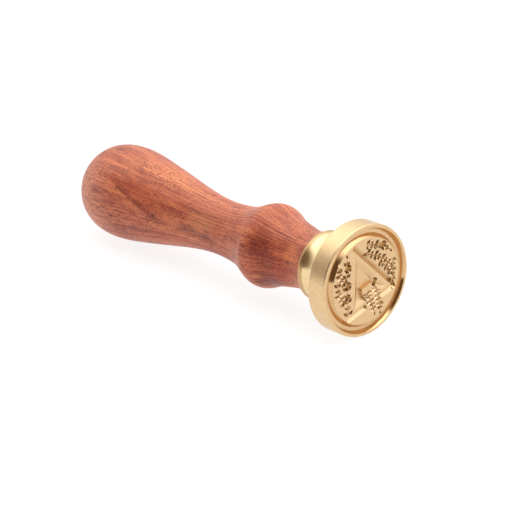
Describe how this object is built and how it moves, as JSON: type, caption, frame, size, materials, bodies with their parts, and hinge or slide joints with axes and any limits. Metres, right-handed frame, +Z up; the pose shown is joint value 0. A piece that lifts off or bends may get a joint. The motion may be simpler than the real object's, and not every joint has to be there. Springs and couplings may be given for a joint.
{
  "type": "wax seal stamp",
  "caption": "Wax seal stamp lying on its side: an engraved brass stamp head that unscrews from a turned rosewood handle.",
  "frame": {"origin": "centre of the bounding box's footprint, on the table that the rim of the head and the bulb rest on", "axes": "+X runs from the bulb to the stamping face in plan; +Z up; the turning axis tips about 1.25 degrees down towards the bulb"},
  "size_m": [0.0902, 0.025, 0.0251],
  "materials": {
    "brass": "satin turned brass, polished in the collar's cove",
    "rosewood": "satin oiled rosewood",
    "zinc_steel": "zinc-plated steel"
  },
  "bodies": {
    "handle": {"handle": "rosewood", "hanger_stud": "zinc_steel"},
    "stamp_head": {"stamp_head": "brass"}
  },
  "joints": [
    {"name": "head_unscrew", "type": "slide", "parent": "handle", "child": "stamp_head", "axis": [0.9998, 0, 0.0217], "range_m": [0, 0.012]}
  ]
}
